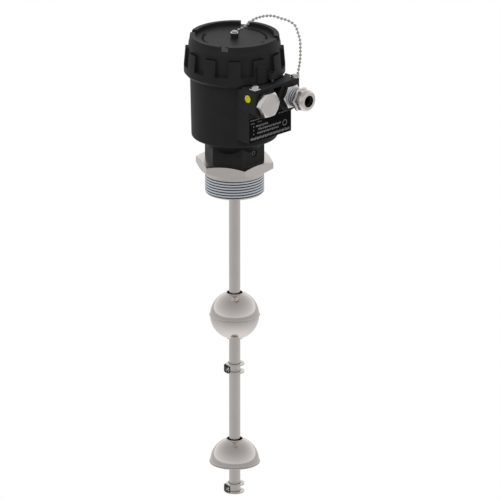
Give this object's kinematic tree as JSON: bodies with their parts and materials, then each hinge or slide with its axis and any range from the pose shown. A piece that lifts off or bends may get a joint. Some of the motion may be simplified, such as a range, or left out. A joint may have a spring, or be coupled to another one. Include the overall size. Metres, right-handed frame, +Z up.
{
  "type": "magnetostrictive level transmitter",
  "caption": "Level transmitter: black round head with ribbed screw cover, cable gland and chain on a steel hexagon thread, thin probe tube with sliding ball and dome floats.",
  "frame": {"origin": "on the probe's axis at the upper end of the process thread, 1.6 mm under the sealing face of the steel hexagon", "axes": "+Z up along the probe towards the cover, -Y towards the cable entries and the nameplate"},
  "size_m": [0.1022, 0.1398, 0.5141],
  "materials": {
    "housing_paint": "black powder coat, semi-matt",
    "stainless": "turned stainless steel",
    "plated_brass": "nickel-plated brass",
    "black_plate": "black anodised sheet",
    "yellow_label": "yellow label film",
    "black_rubber": "black seal rubber",
    "module_plastic": "potted module housing",
    "board_green": "coated circuit board",
    "block_plastic": "terminal block moulding",
    "bobbin_plastic": "natural moulding",
    "copper_wire": "enamelled winding",
    "magnet": "sintered ferrite ring"
  },
  "bodies": {
    "head": {"ball_chain": "stainless", "blanking_plug": "plated_brass", "board_screws": "stainless", "chain_lower_eyelet": "stainless", "chain_lower_screw": "stainless", "circuit_board": "board_green", "coil_bobbin": "bobbin_plastic", "coil_winding": "copper_wire", "cover_o_ring": "black_rubber", "damping_element": "black_rubber", "earth_clamp": "stainless", "earth_label": "yellow_label", "earth_screw": "stainless", "earth_washer": "stainless", "electronics_module": "module_plastic", "gland_body": "plated_brass", "gland_gasket": "black_rubber", "housing_body": "housing_paint", "lower_stop_clip": "stainless", "lower_stop_screw": "stainless", "middle_stop_clip": "stainless", "middle_stop_screw": "stainless", "module_screws": "stainless", "nameplate": "black_plate", "neck_set_screw": "stainless", "plug_gasket": "black_rubber", "probe_tube": "stainless", "process_connection": "stainless", "sensor_plug": "module_plastic", "terminal_block": "block_plastic", "terminal_screws": "stainless", "tube_end_plug": "stainless", "waveguide_sleeve": "bobbin_plastic", "waveguide_wire": "stainless"},
    "cover_swivel": {"chain_upper_eyelet": "stainless"},
    "cover": {"cover": "housing_paint", "cover_lock_screw": "stainless", "chain_upper_screw": "stainless"},
    "gland_seal": {"gland_seal_insert": "black_rubber"},
    "gland_nut": {"gland_clamp_nut": "plated_brass"},
    "ball_float": {"ball_float_upper_shell": "stainless", "ball_float_lower_shell": "stainless", "ball_float_bore_tube": "stainless", "ball_float_magnet": "magnet"},
    "dome_float": {"dome_float_shell": "stainless", "dome_float_base": "stainless", "dome_float_bore_tube": "stainless", "dome_float_magnet": "magnet"}
  },
  "joints": [
    {"name": "cover_lift", "type": "slide", "parent": "head", "child": "cover_swivel", "axis": [0, 0, 1], "range_m": [0, 0.012], "deforming": ["ball_chain"]},
    {"name": "cover_turn", "type": "hinge", "parent": "cover_swivel", "child": "cover", "pos_m": [0, 0, 0.12], "axis": [0, 0, 1], "range_deg": [0, 2160]},
    {"name": "gland_seal_slide", "type": "slide", "parent": "head", "child": "gland_seal", "axis": [0, 1, 0], "range_m": [0, 0.0035]},
    {"name": "gland_nut_turn", "type": "hinge", "parent": "gland_seal", "child": "gland_nut", "pos_m": [0.0176, -0.08, 0.0879], "axis": [0, 1, 0], "range_deg": [0, 840]},
    {"name": "ball_float_slide", "type": "slide", "parent": "head", "child": "ball_float", "axis": [0, 0, 1], "range_m": [-0.0269, 0.1071]},
    {"name": "dome_float_slide", "type": "slide", "parent": "head", "child": "dome_float", "axis": [0, 0, 1], "range_m": [-0.0221, 0.0714]}
  ],
  "couplings": [
    {"joint": "cover_lift", "follows": "cover_turn", "m_per_rad": 0.000318},
    {"joint": "gland_seal_slide", "follows": "gland_nut_turn", "m_per_rad": 0.000238}
  ]
}
